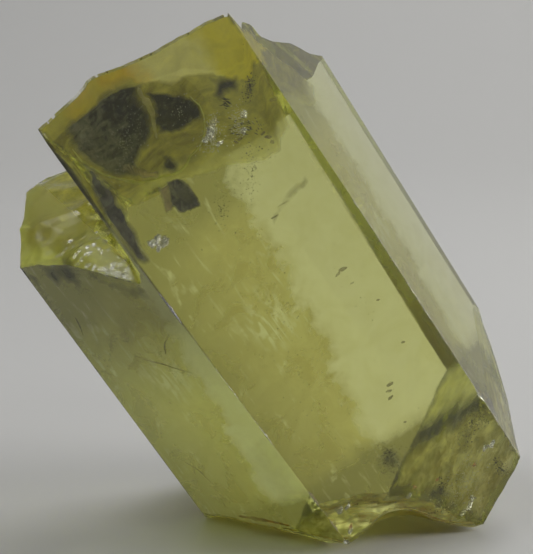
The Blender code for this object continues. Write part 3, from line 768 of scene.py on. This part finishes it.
def inclusions():
    scar, mark = on_lip(0.065), under(spur, 0.095)
    # The scar's lobes are painted shade: dark sheets where the scar only reflects darkness.
    merged("scar_shade_and_crack_films", [
        sheet(by_lip(LOBE_LEFT), scar, seed=1, jag=0.06, soft=0.28, bare=0.03),
        sheet(by_lip(LOBE_RIGHT), scar, seed=2, soft=0.12), sheet(by_lip(LOBE_LOW), scar, seed=3, jag=0.08, soft=0.16),
        sheet(SQUARE, level_with_front(1.0, 0.2, 2.3), seed=4, jag=0.04, soft=0.04), sheet(UPPER_DARK, level_with_front(0.85, 0.2, 5.2), seed=6, jag=0.16, soft=0.24),
    ], painted_scar_shade_and_dark_cracks())
    # Painted shade: a dark sheet where the step wall looks dark.
    strip = sheet(WALL_STRIP, level_with_front(0.24, 0.5, 0.3), seed=5, soft=0.16, bare=0.03)
    merged("wall_shade_painted", [strip], film("painted_wall_shade", (0.004, 0.004, 0.003), (0.14, 0.14, 0.11), 0.0, 0.9, 1.0))
    patches = [sheet(outline, level_with_front(deep, 0.1, 4.0), seed=40 + n, jag=0.10, soft=0.32) for n, (outline, deep) in enumerate(DARK_PATCHES)]
    patches.append(sheet(UPPER_GREY, level_with_front(1.1, 0.2, 5.2), seed=46, jag=0.12, soft=0.3))
    merged("dark_patches", patches, film("dark_patch", (0.04, 0.045, 0.025), (0.24, 0.24, 0.13), 0.2, 0.2, 0.75))
    merged("brown_streak", [sheet(STREAK, level_with_front(0.8), seed=47, jag=0.07, soft=0.12)], film("brown_streak", (0.30, 0.26, 0.07), (0.60, 0.55, 0.20), 0.6, 0.2, 0.7))
    pale = [sheet(PALE_STRIP, under(spur, 0.065), seed=7), sheet(SQUARE_SIDE, level_with_front(1.1, 0.2, 1.9), seed=8)]
    merged("pale_films", pale, film("pale_film", (0.55, 0.46, 0.28), (0.85, 0.74, 0.50), 0.4, 0.7, 1.0))
    hanging = [sheet(outline, beside_left_face(0.3), seed=50 + n, jag=0.16, soft=0.22) for n, outline in enumerate((*HANGING_DARK, HANGING_GREY))]
    merged("lip_dark_marks", hanging, film("lip_dark_mark", (0.012, 0.014, 0.012), (0.15, 0.15, 0.10), 0.0, 0.3, 0.9))
    sealed(ribbon("rust_line", RUST_LINE, 0.10, beside_left_face(0.15)), film("rust_line", (0.45, 0.20, 0.05), (0.62, 0.36, 0.10), 0.5, 0.3, 0.8))
    hairline = film("hairline", (0.20, 0.15, 0.05), (0.50, 0.42, 0.16), 0.3, 0.1, 0.7)
    for n, path in enumerate(LEFT_CRACKS):
        sealed(ribbon(f"hairline_{n}", path, 0.022, beside_left_face(0.25)), hairline)
    # Painted highlights: pale bright films for the scar's crease and its bright rim.
    sealed(ribbon("scar_crease_highlight", CREASE, 0.10, mark), film("crease", (0.80, 0.78, 0.46), (0.98, 0.96, 0.70), 0.8, 0.6, 1.0))
    sealed(ribbon("scar_rim_highlight", RIM, 0.05, mark), film("rim", (0.80, 0.82, 0.25), (0.95, 0.96, 0.45), 0.8, 0.8, 1.0))
    merged("spur_frost", [sheet(SPUR_FROST, on_lip(0.025), 0.06, jag=0.02, seed=9, soft=0.06, bare=0.012)], spur_frost())
    merged("foot_frost", [sheet(((-4.0, -4.0), (8.0, -4.0), (8.0, 8.5), (-4.0, 8.5)), over_foot, 0.09, seed=12, soft=0.18)], film("foot_frost", (0.50, 0.31, 0.06), (0.97, 0.95, 0.42), 0.45, 0.2, 0.9))
    merged("shelf_frost", [sheet(SHELF_FROST, under(shelf, 0.19), 0.08, seed=10, soft=0.24)], film("shelf_frost", (0.56, 0.51, 0.05), (0.80, 0.75, 0.13), 0.1, 0.5, 0.95))
    merged("lower_frost", [sheet(LOWER_FROST, under(lower_break, -0.05), 0.08, jag=0.2, seed=11, soft=0.56)], film("lower_frost", (0.50, 0.46, 0.12), (0.97, 0.95, 0.45), 0.7, 0.6, 1.0))
    merged("lower_pale", [sheet(LOWER_PALE, under(lower_break, -0.075), 0.08, jag=0.2, seed=13, soft=0.56)], film("lower_pale", (0.88, 0.88, 0.45), (0.99, 0.99, 0.62), 0.8, 0.7, 1.0))
    merged("pale_specks", [cloud(PALE_CLOUDS, 31)], film("pale_speck", (0.9, 0.9, 0.80), (1.0, 1.0, 0.95), 0.5, 0.8, 1.0))
    merged("dark_specks", [cloud(DARK_CLOUDS, 32), slivers()], film("dark_speck", (0.03, 0.03, 0.015), (0.14, 0.13, 0.06), 0.0, 0.6, 1.0))
    merged("brown_needles", [flakes(BROWN, 33, 0.3)], film("brown_needle", (0.25, 0.20, 0.05), (0.55, 0.46, 0.16), 0.5, 0.15, 0.55))
    shelf_rows = [((p, q, float(shelf(np.array(p), np.array(q))) - 0.07 - 0.5 * one), one, two, turn) for p, q, one, two, turn in SHELF_GLINTS]
    merged("bright_cracks", [facets(GLINTS, GLINT_FACING, 34, 0.12, 0.06), facets(shelf_rows, SHELF_FACING, 36, 0.12, 0.05, True)], mirror("bright_crack", (0.97, 0.97, 0.95)))
    merged("rusty_cracks", [facets(RUST_GLINTS, GLINT_FACING, 35, 0.12, 0.06)], mirror("rusty_crack", (0.95, 0.62, 0.35)))


# ---------------------------------------------------------------- materials
ABSORB_COLOUR = (0.855, 0.877, 0.07, 1.0)
ABSORB_DENSITY = 128.0
CLEAR_LEAN, CLEAR_EDGE = -0.12, 4.9


class Nodes:
    """Short names for building a node tree."""

    def __init__(self, name):
        self.material = bpy.data.materials.new(name)
        self.material.use_nodes = True
        self.tree = self.material.node_tree
        self.shader = self.tree.nodes["Principled BSDF"]
        self.out = self.tree.nodes["Material Output"]
        self.painted = self.fading = None

    def add(self, kind, **values):
        node = self.tree.nodes.new(kind)
        for key, value in values.items():
            if hasattr(node, key) and key not in node.inputs:
                setattr(node, key, value)
            else:
                node.inputs[key].default_value = value
        return node

    def link(self, source, target):
        self.tree.links.new(source, target)

    def grain(self, scale=(1.0, 1.0, 1.0)):
        place = self.add("ShaderNodeAttribute", attribute_name="grain")
        mapping = self.add("ShaderNodeMapping")
        mapping.inputs["Scale"].default_value = scale
        self.link(place.outputs["Vector"], mapping.inputs["Vector"])
        return mapping.outputs["Vector"]

    def noise(self, vector, scale, detail=4.0, roughness=0.5, distortion=0.0):
        node = self.add("ShaderNodeTexNoise")
        node.inputs["Scale"].default_value = scale
        node.inputs["Detail"].default_value = detail
        node.inputs["Roughness"].default_value = roughness
        node.inputs["Distortion"].default_value = distortion
        self.link(vector, node.inputs["Vector"])
        return node.outputs["Fac"]

    def spread(self, value, low, high, to_low, to_high):
        node = self.add("ShaderNodeMapRange")
        for name, number in (("From Min", low), ("From Max", high), ("To Min", to_low), ("To Max", to_high)):
            node.inputs[name].default_value = number
        self.link(value, node.inputs["Value"])
        return node.outputs["Result"]

    def socket(self, node, index, value):
        if isinstance(value, bpy.types.NodeSocket):
            self.link(value, node.inputs[index])
        else:
            node.inputs[index].default_value = value

    def madd(self, value, times, plus):
        node = self.add("ShaderNodeMath", operation="MULTIPLY_ADD")
        for index, part in enumerate((value, times, plus)):
            self.socket(node, index, part)
        return node.outputs[0]

    def mix(self, share, one, two):
        node = self.add("ShaderNodeMix")
        for index, part in ((0, share), (2, one), (3, two)):
            self.socket(node, index, part)
        return node.outputs[0]

    def mix_colour(self, share, one, two):
        node = self.add("ShaderNodeMix", data_type="RGBA")
        for index, part in ((0, share), (6, one), (7, two)):
            self.socket(node, index, part)
        return node.outputs[2]

    def both(self, share, one, two):
        node = self.add("ShaderNodeMixShader")
        self.socket(node, 0, share)
        self.link(one, node.inputs[1])
        self.link(two, node.inputs[2])
        return node.outputs[0]

    def bump(self, height, strength, distance, normal=None):
        node = self.add("ShaderNodeBump")
        node.inputs["Strength"].default_value = strength
        node.inputs["Distance"].default_value = distance
        self.link(height, node.inputs["Height"])
        if normal is not None:
            self.link(normal, node.inputs["Normal"])
        return node.outputs["Normal"]


def beryl():
    """One yellow beryl for the whole crystal. The finish attribute says which faces are broken and which are etched."""
    nodes = Nodes("yellow_beryl_clear")
    shader = nodes.shader
    shader.inputs["Transmission Weight"].default_value = 1.0
    shader.inputs["IOR"].default_value = 1.57
    absorb = nodes.add("ShaderNodeVolumeAbsorption")
    absorb.inputs["Color"].default_value = ABSORB_COLOUR
    absorb.inputs["Density"].default_value = ABSORB_DENSITY
    nodes.link(absorb.outputs["Volume"], nodes.out.inputs["Volume"])
    grain = nodes.grain()
    parts = nodes.add("ShaderNodeSeparateXYZ")
    nodes.link(grain, parts.inputs["Vector"])
    finish = nodes.add("ShaderNodeSeparateXYZ")
    nodes.link(nodes.add("ShaderNodeAttribute", attribute_name="finish").outputs["Vector"], finish.inputs["Vector"])
    broken, back, beneath = finish.outputs["X"], finish.outputs["Y"], finish.outputs["Z"]
    across, inwards, up = parts.outputs["X"], parts.outputs["Y"], parts.outputs["Z"]

    # The back is etched and stained, darker to the left, but for a clear stretch whose ragged edge leans with the crystal.
    wander = nodes.noise(grain, 0.55, 4.0, 0.6, 0.6)
    ragged = nodes.noise(grain, 1.7, 5.0, 0.65, 0.4)
    line = nodes.madd(wander, 2.4, nodes.madd(up, CLEAR_LEAN, across))
    line = nodes.madd(ragged, 1.1, line)
    etched = nodes.spread(line, CLEAR_EDGE + 0.15, CLEAR_EDGE + 0.75, 1.0, 0.0)
    low = nodes.spread(nodes.madd(wander, 1.0, nodes.madd(across, 0.18, up)), -0.1, 0.6, 1.0, 0.0)
    etched = nodes.madd(nodes.mix(low, etched, 1.0), back, 0.0)
    cloud = nodes.noise(grain, 0.9, 5.0, 0.65, 0.8)

    smears = nodes.spread(nodes.noise(nodes.grain((0.5, 0.5, 0.16)), 1.0, 5.0, 0.6, 0.4), 0.35, 0.75, 0.02, 0.10)
    patches = nodes.spread(nodes.noise(grain, 1.1, 5.0, 0.65, 0.5), 0.42, 0.78, 0.05, 0.28)
    frost = nodes.spread(cloud, 0.3, 0.7, 0.2, 0.42)
    roughness = nodes.mix(broken, smears, patches)
    roughness = nodes.mix(beneath, roughness, 0.35)
    roughness = nodes.mix(nodes.madd(nodes.spread(across, -0.25, -0.05, 1.0, 0.0), broken, 0.0), roughness, 0.40)
    right_back = nodes.madd(nodes.spread(nodes.madd(ragged, 0.3, across), 7.15, 7.5, 0.0, 1.0), back, 0.0)
    nodes.link(nodes.mix(right_back, nodes.mix(etched, roughness, frost), nodes.spread(cloud, 0.3, 0.7, 0.22, 0.40)), shader.inputs["Roughness"])

    # Stains: brown over the etched back with pale wisps. Painted shade: grey over the left face, darkest over its head.
    # Dirt in the foot, its darker tones also painted shade.
    left = nodes.spread(nodes.madd(wander, 1.6, across), 0.9, 3.8, 1.0, 0.0)
    stain = nodes.mix_colour(nodes.spread(cloud, 0.35, 0.65, 0.0, 1.0), (0.45, 0.385, 0.10, 1.0), (0.66, 0.61, 0.22, 1.0))
    stain = nodes.mix_colour(left, stain, (0.19, 0.175, 0.045, 1.0))
    stain = nodes.mix_colour(low, stain, (0.18, 0.165, 0.05, 1.0))
    stain = nodes.mix_colour(nodes.spread(nodes.madd(wander, 1.5, up), 9.6, 10.8, 0.0, 1.0), stain, (0.27, 0.25, 0.07, 1.0))
    wisps = nodes.noise(nodes.grain((2.6, 2.6, 0.42)), 1.0, 5.0, 0.62, 1.4)
    wisps = nodes.madd(nodes.spread(wisps, 0.57, 0.68, 0.0, 1.0), nodes.spread(cloud, 0.42, 0.58, 0.0, 0.8), 0.0)
    stain = nodes.mix_colour(wisps, stain, (0.95, 0.96, 0.74, 1.0))
    aside, above = nodes.madd(across, 1.35, -4.05), nodes.madd(up, 0.85, -4.6)
    nearby = nodes.spread(nodes.madd(wander, 1.6, nodes.madd(aside, aside, nodes.madd(above, above, 0.0))), 0.9, 2.3, 1.0, 0.0)
    veil = nodes.noise(nodes.grain((2.2, 2.2, 0.6)), 1.2, 6.0, 0.66, 1.8)
    stain = nodes.mix_colour(nodes.madd(nearby, nodes.spread(veil, 0.47, 0.58, 0.0, 0.95), 0.0), stain, (0.97, 0.99, 0.78, 1.0))
    colour = nodes.mix_colour(etched, (0.97, 0.97, 0.93, 1.0), stain)
    haze = nodes.madd(nodes.spread(nodes.noise(grain, 0.8, 6.0, 0.68, 0.7), 0.42, 0.66, 0.0, 0.75), back, 0.0)
    colour = nodes.mix_colour(nodes.madd(haze, nodes.madd(etched, -1.0, 1.0), 0.0), colour, (0.82, 0.80, 0.60, 1.0))
    painted_top_shade = nodes.spread(nodes.madd(wander, 2.0, nodes.madd(ragged, 1.6, up)), 8.4, 12.2, 0.0, 1.0)
    left_face = nodes.madd(nodes.madd(back, -1.0, 1.0), nodes.madd(broken, -1.0, 1.0), 0.0)
    left_face = nodes.madd(left_face, nodes.spread(across, -0.06, -0.01, 1.0, 0.0), 0.0)
    # Painted shade: the left face tinted grey and darker still towards its head, where little light comes through.
    colour = nodes.mix_colour(left_face, colour, (0.52, 0.56, 0.60, 1.0))
    colour = nodes.mix_colour(nodes.madd(painted_top_shade, left_face, 0.0), colour, (0.11, 0.11, 0.15, 1.0))
    # Dirt in the foot, its darker tones also painted as the shade where the crystal meets the floor.
    foot_dirt_and_shade = nodes.mix_colour(nodes.noise(grain, 1.6, 4.0, 0.6), (0.30, 0.25, 0.09, 1.0), (0.75, 0.70, 0.34, 1.0))
    nodes.link(nodes.mix_colour(beneath, colour, foot_dirt_and_shade), shader.inputs["Base Color"])

    lines = nodes.noise(nodes.grain((4.2, 4.2, 0.05)), 1.0, 4.0, 0.6)
    waves = nodes.noise(nodes.grain((0.45, 0.45, 0.3)), 1.0, 2.0, 0.4)
    height = nodes.madd(nodes.madd(waves, 8.0, lines), nodes.madd(broken, -1.0, 1.0), 0.0)
    nodes.link(nodes.bump(height, 0.05, 0.00005), shader.inputs["Normal"])
    return nodes.material


def film(name, one, two, clear, least=1.0, most=1.0, colour=None):
    """An uneven matt film that hides from a least to a most share of what is behind, and lets a share of the light through."""
    nodes = Nodes(name) if colour is None else colour
    grain = nodes.grain()
    blotch = nodes.noise(grain, 1.7, 7.0, 0.66, 0.8)
    tone = nodes.painted if colour is not None else nodes.mix_colour(nodes.spread(blotch, 0.40, 0.62, 0.0, 1.0), (*one, 1.0), (*two, 1.0))
    nodes.link(tone, nodes.shader.inputs["Base Color"])
    nodes.link(nodes.spread(blotch, 0.3, 0.7, 0.35, 0.65), nodes.shader.inputs["Roughness"])
    nodes.link(nodes.bump(nodes.noise(grain, 6.0, 4.0, 0.6), 0.4, 0.00005), nodes.shader.inputs["Normal"])
    surface = nodes.shader.outputs[0]
    if clear:
        through = nodes.add("ShaderNodeBsdfTranslucent")
        nodes.link(tone, through.inputs["Color"])
        surface = nodes.both(clear, surface, through.outputs[0])
    full = nodes.add("ShaderNodeAttribute", attribute_name="full").outputs["Fac"]
    patch = nodes.noise(grain, 1.1, 6.0, 0.62, 0.5)
    hides = nodes.madd(full, nodes.spread(patch, 0.36, 0.62, least, most), 0.0)
    if colour is not None and nodes.fading is not None:
        hides = nodes.madd(hides, nodes.fading, 0.0)
    nodes.link(nodes.both(hides, nodes.add("ShaderNodeBsdfTransparent").outputs[0], surface), nodes.out.inputs["Surface"])
    return nodes.material


def spur_frost():
    """The frosted back of the spur: olive, rust along its left edge, a whitish cloud, then brown."""
    nodes = Nodes("spur_frost")
    grain = nodes.grain()
    parts = nodes.add("ShaderNodeSeparateXYZ")
    nodes.link(grain, parts.inputs["Vector"])
    across, inwards = parts.outputs["X"], parts.outputs["Y"]
    wander = nodes.noise(grain, 0.8, 5.0, 0.62, 0.6)
    olive = nodes.mix_colour(nodes.spread(nodes.noise(grain, 1.5, 6.0, 0.66, 0.6), 0.38, 0.64, 0.0, 1.0), (0.32, 0.29, 0.04, 1.0), (0.64, 0.60, 0.10, 1.0))
    rust = nodes.mix_colour(nodes.spread(wander, 0.38, 0.6, 0.0, 1.0), (0.86, 0.62, 0.03, 1.0), (0.80, 0.69, 0.05, 1.0))
    cloud = nodes.mix_colour(wander, (1.0, 0.97, 0.42, 1.0), (0.90, 0.86, 0.22, 1.0))
    shifted = nodes.madd(wander, 1.2, nodes.madd(across, 1.0, -0.6))
    top = nodes.mix_colour(nodes.spread(shifted, 0.6, 1.2, 0.0, 1.0), (0.72, 0.67, 0.08, 1.0), rust)
    top = nodes.mix_colour(nodes.spread(shifted, 2.8, 3.6, 0.0, 1.0), top, cloud)
    top = nodes.mix_colour(nodes.spread(shifted, 4.9, 5.5, 0.0, 1.0), top, (0.88, 0.81, 0.09, 1.0))
    limit = nodes.madd(wander, 0.25, nodes.spread(shifted, 2.8, 4.2, 0.02, 0.50))
    limit = nodes.madd(nodes.spread(shifted, 5.0, 6.5, 0.0, 1.1), 1.0, limit)
    edge = nodes.spread(nodes.madd(limit, -1.0, inwards), -0.05, 0.10, 1.0, 0.0)
    deep = nodes.spread(nodes.madd(wander, 2.0, inwards), 5.0, 6.6, 0.0, 1.0)
    olive = nodes.mix_colour(nodes.spread(nodes.madd(wander, 1.0, across), 4.7, 5.5, 0.0, 0.35), olive, (0.80, 0.78, 0.24, 1.0))
    nodes.painted = nodes.mix_colour(deep, nodes.mix_colour(edge, olive, top), (0.97, 0.95, 0.36, 1.0))
    nodes.fading = nodes.spread(nodes.madd(wander, 2.0, inwards), 5.2, 6.8, 1.0, 0.5)
    return film("spur_frost", None, None, 0.9, 0.8, 1.0, nodes)


def painted_scar_shade_and_dark_cracks():
    """Painted shade for the scar's dark reflection, also given to dark cracks: nearly black, mottled, and greyer
    towards its left end.
    """
    nodes = Nodes("painted_scar_shade_and_dark_cracks")
    grain = nodes.grain()
    parts = nodes.add("ShaderNodeSeparateXYZ")
    nodes.link(grain, parts.inputs["Vector"])
    mottle = nodes.noise(grain, 2.2, 8.0, 0.70, 0.7)
    streaks = nodes.noise(nodes.grain((3.0, 0.9, 0.9)), 1.6, 5.0, 0.65, 1.0)
    tone = nodes.madd(streaks, 0.45, nodes.madd(mottle, 1.0, nodes.spread(parts.outputs["X"], 0.5, 2.9, 0.15, -0.12)))
    nodes.painted = nodes.mix_colour(nodes.spread(tone, 0.66, 1.02, 0.0, 1.0), (0.003, 0.003, 0.002, 1.0), (0.34, 0.34, 0.24, 1.0))
    return film("painted_scar_shade_and_dark_cracks", None, None, 0.0, 0.85, 1.0, nodes)


def mirror(name, colour):
    """A small crack that lets half of the light through and mirrors the rest."""
    nodes = Nodes(name)
    grain = nodes.grain()
    nodes.shader.inputs["Metallic"].default_value = 1.0
    nodes.shader.inputs["Base Color"].default_value = (*colour, 1.0)
    nodes.link(nodes.spread(nodes.noise(grain, 4.0, 3.0, 0.6), 0.3, 0.7, 0.12, 0.34), nodes.shader.inputs["Roughness"])
    nodes.link(nodes.bump(nodes.noise(grain, 7.0, 3.0, 0.6), 0.5, 0.00005), nodes.shader.inputs["Normal"])
    nodes.link(nodes.both(0.6, nodes.add("ShaderNodeBsdfTransparent").outputs[0], nodes.shader.outputs[0]), nodes.out.inputs["Surface"])
    return nodes.material


def plain(name, colour, roughness):
    nodes = Nodes(name)
    nodes.shader.inputs["Base Color"].default_value = (*colour, 1.0)
    nodes.shader.inputs["Roughness"].default_value = roughness
    return nodes.material


# ---------------------------------------------------------------- stage, lights, camera
def stage():
    """A pale floor that sweeps up behind."""
    half, near, bend, far, radius, top = 0.30, -0.16, 0.07, 0.13, 0.06, 0.26
    profile = [(near, 0.0), (bend, 0.0)]
    for n in range(1, 17):
        a = math.radians(90.0 * n / 16)
        profile.append((bend + radius * math.sin(a), radius * (1 - math.cos(a))))
    profile.append((far, top))
    points = np.array([(x, y, z) for y, z in profile for x in (-half, half)]) / MM
    quads = [[2 * n, 2 * n + 1, 2 * n + 3, 2 * n + 2] for n in range(len(profile) - 1)]
    made = solid("sweep", points, quads, Matrix.Identity(4))
    made.data.polygons.foreach_set("use_smooth", [True] * len(quads))
    made.data.materials.append(plain("pale_paper", (0.62, 0.62, 0.61), 0.55))
    made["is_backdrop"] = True


def lamp(name, at, aim, size, power, colour=(1.0, 1.0, 1.0)):
    data = bpy.data.lights.new(name, "AREA")
    data.shape, data.size, data.energy, data.color = "DISK", size, power, colour
    made = bpy.data.objects.new(name, data)
    made.location = at
    made.rotation_euler = (Vector(aim) - Vector(at)).to_track_quat("-Z", "Y").to_euler()
    bpy.context.scene.collection.objects.link(made)


def lights():
    lamp("key", (0.055, 0.075, 0.20), (0.0, 0.05, 0.0), 0.12, 0.123)
    lamp("low_right", (0.22, -0.01, 0.105), (0.0, 0.0, 0.006), 0.13, 0.27, (1.0, 0.98, 0.94))
    lamp("floor_right", (0.060, 0.035, 0.014), (0.004, 0.0, 0.004), 0.02, 0.008)
    lamp("back_left", (-0.050, 0.000, 0.110), (0.0, 0.0, 0.008), 0.05, 0.022)
    lamp("top_left", (-0.045, -0.030, 0.100), (0.0, 0.0, 0.010), 0.025, 0.008)
    lamp("glint", (0.060, -0.090, 0.120), (0.0, 0.0, 0.008), 0.024, 0.010)
    world = bpy.data.worlds.new("room")
    world.use_nodes = True
    world.node_tree.nodes["Background"].inputs["Color"].default_value = (0.95, 0.97, 1.0, 1.0)
    world.node_tree.nodes["Background"].inputs["Strength"].default_value = 0.035
    bpy.context.scene.world = world


def camera():
    data = bpy.data.cameras.new("camera")
    data.lens, data.sensor_width = 129.96, 36.0
    data.clip_start, data.clip_end = 0.001, 2.0
    made = bpy.data.objects.new("camera", data)
    made.location = (-0.000307, -0.063364, 0.023151)
    made.rotation_euler = (math.radians(77.0), 0.0, 0.0)
    bpy.context.scene.collection.objects.link(made)
    bpy.context.scene.camera = made


def corners(box):
    return [[float(number) for number in corner] for corner in box]


scene = bpy.context.scene
scene.view_settings.view_transform = "Standard"
scene.cycles.max_bounces = 24
scene.cycles.transmission_bounces = 24
scene.cycles.transparent_max_bounces = 24
scene.cycles.glossy_bounces = 16
scene.cycles.diffuse_bounces = 4
scene.cycles.volume_bounces = 0
camera()
lights()
stage()

gem = crystal()
gem.data.materials.clear()
gem.data.materials.append(beryl())
finish_surface(gem)
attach(gem, "root")
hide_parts("heliodor_crystal")
inclusions()

{"cad": corners(cad_box), "visual": corners(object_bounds())}
